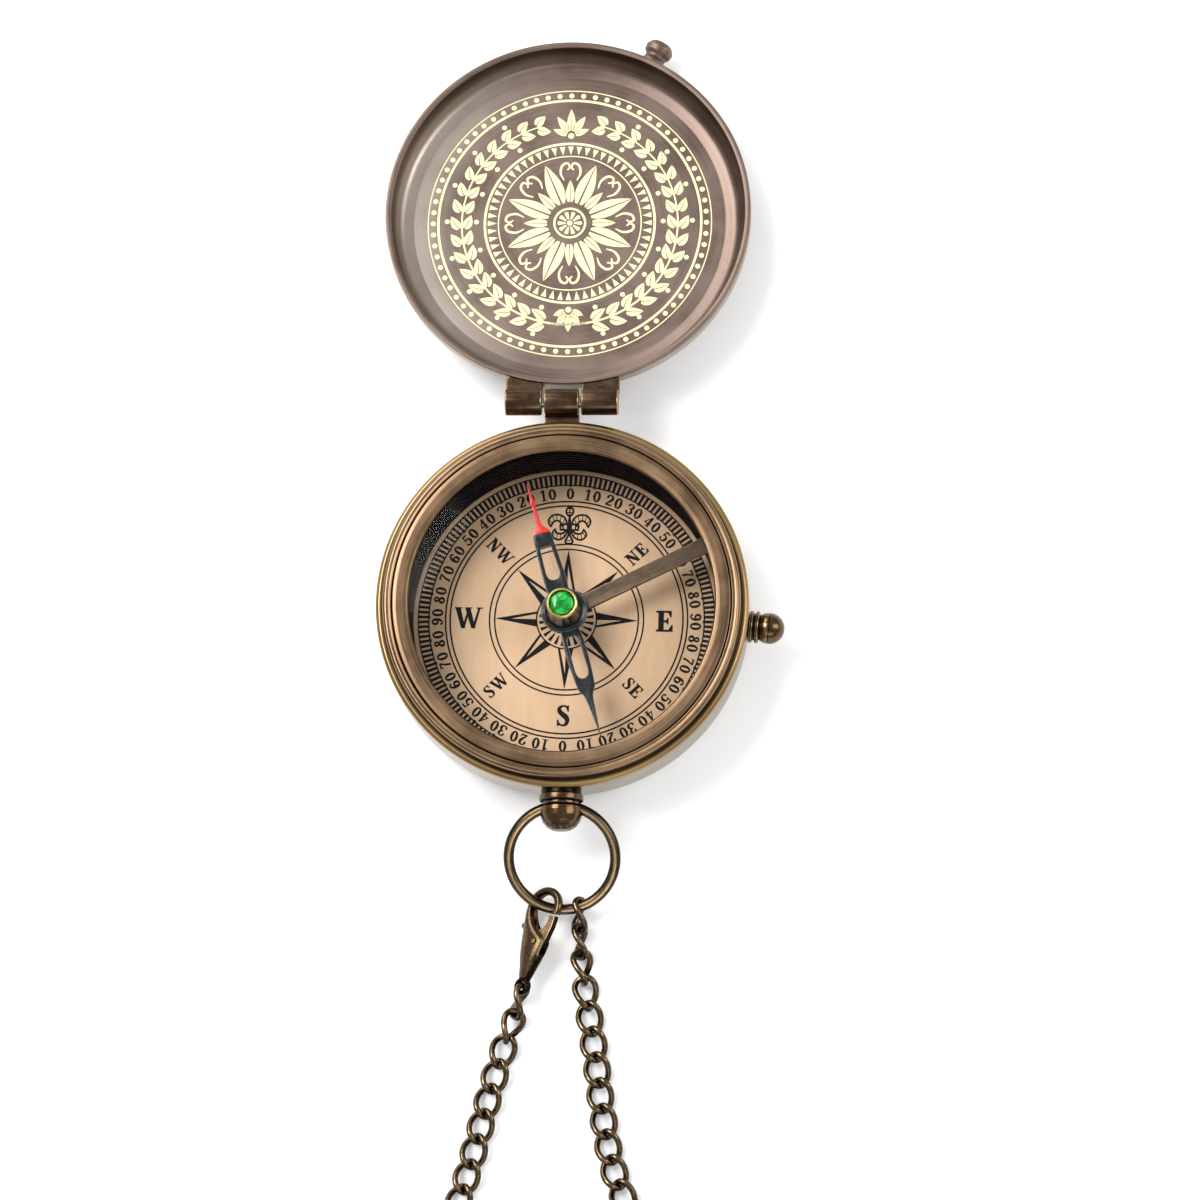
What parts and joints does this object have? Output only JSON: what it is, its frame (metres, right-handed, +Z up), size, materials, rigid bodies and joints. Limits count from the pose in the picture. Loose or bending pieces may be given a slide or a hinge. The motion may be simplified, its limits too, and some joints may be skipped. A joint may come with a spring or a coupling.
{
  "type": "pocket compass",
  "caption": "Pocket compass with an open hinged lid, a glazed dial with a spinning needle, a needle-lock knob, and a curb chain clipped to its bow ring.",
  "frame": {"origin": "centre of the case's flat underside, on the surface that it lies on", "axes": "+Z up through the needle's pivot; +Y from the bow ring across the dial to the hinge and the open lid; +X towards the needle-lock knob"},
  "size_m": [0.0547, 0.2123, 0.0135],
  "materials": {
    "antique_bronze": "brushed, antiqued",
    "dark_bronze": "antiqued, worn bright on the edges",
    "dark_liner": "satin, darkened",
    "copper_dial": "satin, printed in black",
    "bright_brass": "polished",
    "steel": "polished",
    "needle_black": "gloss",
    "needle_cap_black": "gloss, anodised",
    "green_jewel": "gloss, clear green",
    "crystal_glass": "clear",
    "chain_links": "dark antiqued bronze curb links"
  },
  "bodies": {
    "case": {"case_shell": "antique_bronze", "bezel_ring": "antique_bronze", "crystal_retainer": "antique_bronze", "crystal": "crystal_glass", "spacer_ring": "dark_liner", "dial_plate": "copper_dial", "pivot_base": "bright_brass", "pivot_pin": "steel", "lifter_bracket": "bright_brass", "lifter_pin": "steel", "knob_bush": "dark_bronze", "hinge_knuckle_case": "antique_bronze", "hinge_pin": "steel", "pendant_collar": "dark_bronze", "pendant_ball": "antique_bronze", "chain_left": "chain_links", "chain_right": "chain_links", "chain_coil": "chain_links"},
    "lid": {"lid_shell": "antique_bronze", "hinge_knuckle_left": "antique_bronze", "hinge_knuckle_right": "antique_bronze", "lid_stud": "antique_bronze"},
    "needle": {"needle_blade": "needle_black", "needle_cap": "needle_cap_black", "jewel_collar": "bright_brass", "jewel": "green_jewel"},
    "knob": {"knob_stem": "steel", "knob_ball": "antique_bronze"},
    "lifter": {"lock_lifter": "antique_bronze"},
    "bow": {"bow_ring": "dark_bronze", "clasp_body": "dark_bronze", "clasp_rivet": "bright_brass"},
    "trigger": {"clasp_trigger": "dark_bronze"}
  },
  "joints": [
    {"name": "lid_hinge", "type": "hinge", "parent": "case", "child": "lid", "pos_m": [0, 0.0278, 0.011], "axis": [1, 0, 0], "range_deg": [0, 185.5]},
    {"name": "needle_spin", "type": "hinge", "parent": "case", "child": "needle", "pos_m": [0, 0, 0.0104], "axis": [0, 0, 1], "continuous": true},
    {"name": "lock_knob_turn", "type": "hinge", "parent": "case", "child": "knob", "pos_m": [0.02747, -0.00269, 0.0076], "axis": [0.9952, -0.0976, 0], "range_deg": [0, 50]},
    {"name": "lock_lifter_tilt", "type": "hinge", "parent": "case", "child": "lifter", "pos_m": [-0.02254, 0.00221, 0.0057], "axis": [-0.0976, -0.9952, 0], "range_deg": [0, 1.02]},
    {"name": "bow_swing", "type": "hinge", "parent": "case", "child": "bow", "pos_m": [0, -0.02726, 0.0084], "axis": [-1, 0, 0], "range_deg": [0, 120]},
    {"name": "trigger_pull", "type": "hinge", "parent": "bow", "child": "trigger", "pos_m": [-0.00316, -0.04461, 0.00305], "axis": [-0.57, 0.1444, 0.8089], "range_deg": [0, 18], "stiffness_Nm_per_rad": 0.0005, "springref_deg": -11.46}
  ],
  "couplings": [
    {"joint": "lock_lifter_tilt", "follows": "lock_knob_turn", "ratio": 0.0203}
  ]
}
